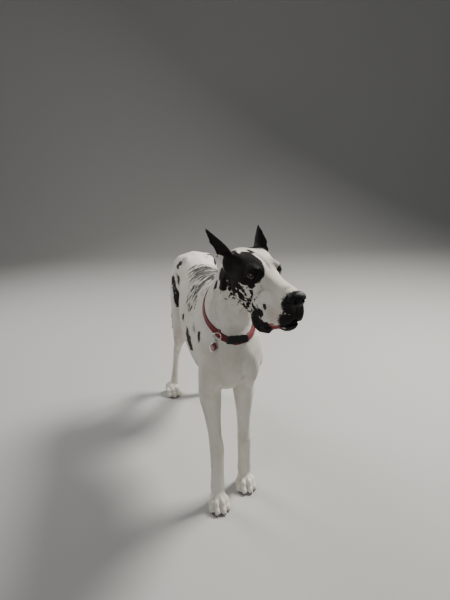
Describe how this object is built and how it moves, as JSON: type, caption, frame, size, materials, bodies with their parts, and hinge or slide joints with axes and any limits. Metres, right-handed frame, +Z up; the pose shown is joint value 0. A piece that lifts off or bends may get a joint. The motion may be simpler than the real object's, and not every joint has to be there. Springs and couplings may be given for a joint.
{
  "type": "standing great dane model",
  "caption": "Life-size still model of a standing harlequin great dane with cropped upright ears, in a webbing collar with buckle and tag.",
  "frame": {"origin": "on the floor, under the middle of the model's box", "axes": "-Y the way the dog faces, +X its left side, +Z up"},
  "size_m": [0.2888, 1.3411, 1.0588],
  "materials": {
    "coat_head": "short white coat with black patches",
    "coat_neck": "short white coat",
    "coat_body": "short white coat with torn black patches",
    "coat_leg": "short white coat",
    "coat_black": "short black coat",
    "eye_dark": "wet dark brown eye",
    "tongue_pink": "wet pink tongue",
    "red_webbing": "woven red webbing",
    "black_plastic": "black moulded buckle",
    "ring_steel": "steel wire",
    "tag_enamel": "dark red enamelled metal"
  },
  "bodies": {
    "root": {"head": "coat_head", "neck": "coat_neck", "torso": "coat_body", "tail": "coat_body", "foreleg_right": "coat_leg", "foreleg_left": "coat_leg", "hindleg_right": "coat_leg", "hindleg_left": "coat_leg", "forepaw_right": "coat_leg", "forepaw_left": "coat_leg", "hindpaw_right": "coat_leg", "hindpaw_left": "coat_leg", "ear_right": "coat_black", "eye_right": "eye_dark", "ear_left": "coat_black", "eye_left": "eye_dark", "tongue": "tongue_pink", "collar_band": "red_webbing", "collar_buckle": "black_plastic", "collar_ring": "ring_steel", "tag": "tag_enamel"}
  },
  "joints": []
}
